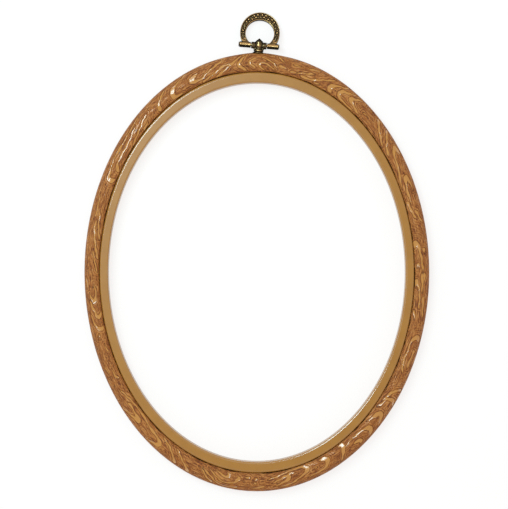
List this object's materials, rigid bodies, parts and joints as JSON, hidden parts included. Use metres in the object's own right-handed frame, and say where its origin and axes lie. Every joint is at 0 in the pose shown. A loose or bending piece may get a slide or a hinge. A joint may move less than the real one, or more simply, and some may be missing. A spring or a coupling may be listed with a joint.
{
  "type": "oval embroidery hoop",
  "caption": "Oval flexible embroidery hoop and frame: woodgrain outer ring pressed over a stiff inner ring, with a swinging hanging ring.",
  "frame": {"origin": "middle of the base of the bounding box: on the table that the hoop lies on, under the middle of the whole outline with its hanger", "axes": "+X across the oval, +Y along it towards the hanger, +Z out of the front face; the hoop lies on its back on z = 0"},
  "size_m": [0.1808, 0.2514, 0.0098],
  "materials": {
    "tan_plastic": "satin tan injection-moulded plastic",
    "woodgrain_vinyl": "soft vinyl with a moulded wood grain, golden-brown ridges over red-brown troughs",
    "antique_brass": "antique brass: dark patina in the hollows, rubbed bright on the high spots"
  },
  "bodies": {
    "inner_hoop": {"inner_ring": "tan_plastic"},
    "outer_hoop": {"outer_ring": "woodgrain_vinyl", "hanger_post": "antique_brass", "clinch_washer": "antique_brass"},
    "bail": {"hanger_bail": "antique_brass", "hinge_pin": "antique_brass"}
  },
  "joints": [
    {"name": "outer_ring_lift", "type": "slide", "parent": "inner_hoop", "child": "outer_hoop", "axis": [0, 0, 1], "range_m": [0, 0.03]},
    {"name": "bail_swing", "type": "hinge", "parent": "outer_hoop", "child": "bail", "pos_m": [0.00109, 0.108, 0.00505], "axis": [0.9969, -0.0785, 0], "range_deg": [-126, 150]}
  ]
}
